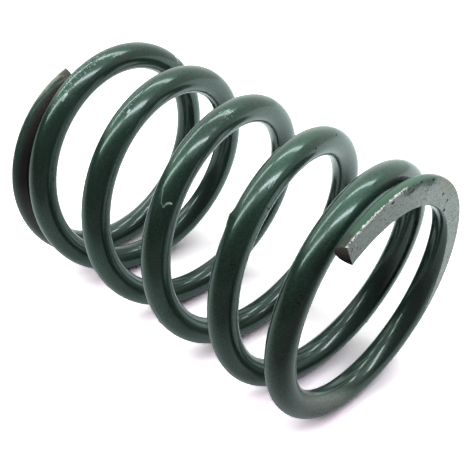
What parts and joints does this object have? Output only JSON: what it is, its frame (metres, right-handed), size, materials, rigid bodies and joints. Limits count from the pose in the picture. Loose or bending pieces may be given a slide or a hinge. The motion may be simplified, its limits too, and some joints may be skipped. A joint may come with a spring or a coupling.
{
  "type": "valve spring",
  "caption": "Compression spring wound right-hand from round wire, with closed ends ground flat, in worn dark green paint.",
  "frame": {"origin": "on the axis of the coil, in the plane of the low ground end that the spring stands on", "axes": "+Z along the axis of the coil, from the low end to the top end; the low tip of the wire starts 50 degrees round from +X towards +Y"},
  "size_m": [0.033, 0.0328, 0.0492],
  "materials": {
    "spring_paint": "glossy dark green paint, worn through to grey steel on the ground ends"
  },
  "bodies": {
    "root": {"valve_spring": "spring_paint"}
  },
  "joints": []
}
